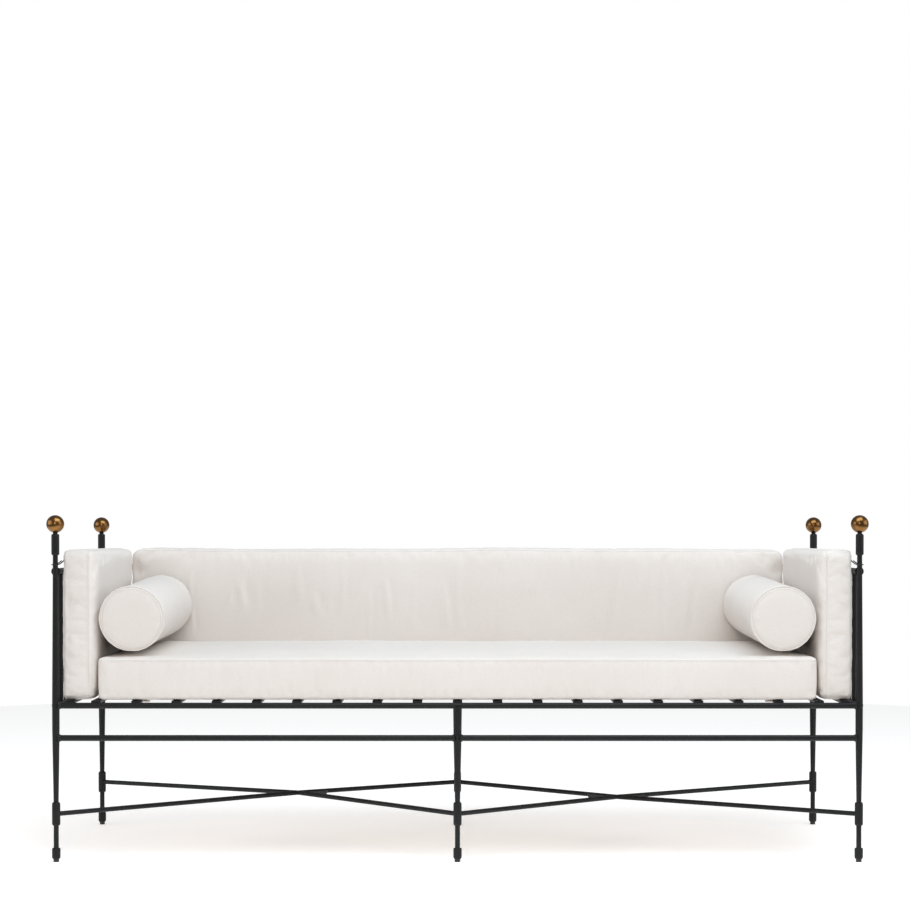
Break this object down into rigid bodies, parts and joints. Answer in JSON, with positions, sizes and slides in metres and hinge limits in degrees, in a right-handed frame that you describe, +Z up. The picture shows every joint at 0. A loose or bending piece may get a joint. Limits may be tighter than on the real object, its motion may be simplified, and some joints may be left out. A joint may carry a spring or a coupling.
{
  "type": "daybed",
  "caption": "Long slim iron daybed with tapered posts, ball finials, slatted seat and bent X stretchers, carrying loose box cushions and a round bolster at each end.",
  "frame": {"origin": "on the floor, under the middle of the frame", "axes": "+X along the length, -Y to the front where people sit, +Z up"},
  "size_m": [2.177, 0.809, 0.92],
  "materials": {
    "black_iron": "satin charcoal black paint on forged bar",
    "aged_brass": "aged, lightly polished",
    "stud_steel": "plain threaded rod",
    "glide_plastic": "matt black",
    "cream_cotton": "plain-weave off-white cotton canvas",
    "filling": "foam and fibre wrap",
    "cream_tape": "folded cotton tape",
    "black_cord": "braided cord",
    "zip_tape": "woven zip tape with coil teeth"
  },
  "bodies": {
    "frame": {"arm_cushion_left_core": "filling", "arm_cushion_left_cover": "cream_cotton", "arm_cushion_right_core": "filling", "arm_cushion_right_cover": "cream_cotton", "arm_tie_left": "black_cord", "arm_tie_right": "black_cord", "back_cushion_core": "filling", "back_cushion_cover": "cream_cotton", "back_infill": "black_iron", "back_seat_rail": "black_iron", "back_top_rail": "black_iron", "ball_finial_back_left": "aged_brass", "ball_finial_back_right": "aged_brass", "ball_finial_front_left": "aged_brass", "ball_finial_front_right": "aged_brass", "cushion_zips": "zip_tape", "finial_studs": "stud_steel", "foot_ferrules": "black_iron", "foot_glides": "glide_plastic", "front_lower_rail_left": "black_iron", "front_lower_rail_right": "black_iron", "front_seat_rail": "black_iron", "lower_collars": "black_iron", "mid_leg_back": "black_iron", "mid_leg_front": "black_iron", "post_back_left": "black_iron", "post_back_right": "black_iron", "post_front_left": "black_iron", "post_front_right": "black_iron", "seat_cushion_core": "filling", "seat_cushion_cover": "cream_cotton", "seat_slats": "black_iron", "seat_tie_left": "cream_tape", "seat_tie_right": "cream_tape", "side_infill_left": "black_iron", "side_infill_right": "black_iron", "side_seat_rail_left": "black_iron", "side_seat_rail_right": "black_iron", "side_top_rail_left": "black_iron", "side_top_rail_right": "black_iron", "stretcher_left_inner_half": "black_iron", "stretcher_left_outer_half": "black_iron", "stretcher_left_whole": "black_iron", "stretcher_right_inner_half": "black_iron", "stretcher_right_outer_half": "black_iron", "stretcher_right_whole": "black_iron", "stretcher_webs": "black_iron", "upper_collar_back_left": "black_iron", "upper_collar_back_right": "black_iron", "upper_collar_front_left": "black_iron", "upper_collar_front_right": "black_iron", "weld_beads": "black_iron"},
    "bolster_left": {"bolster_left_core": "filling", "bolster_left_cover": "cream_cotton"},
    "bolster_right": {"bolster_right_core": "filling", "bolster_right_cover": "cream_cotton"}
  },
  "joints": [
    {"name": "bolster_left_lift", "type": "slide", "parent": "frame", "child": "bolster_left", "axis": [0, 0, 1], "range_m": [0, 0.3]},
    {"name": "bolster_right_lift", "type": "slide", "parent": "frame", "child": "bolster_right", "axis": [0, 0, 1], "range_m": [0, 0.3]}
  ]
}
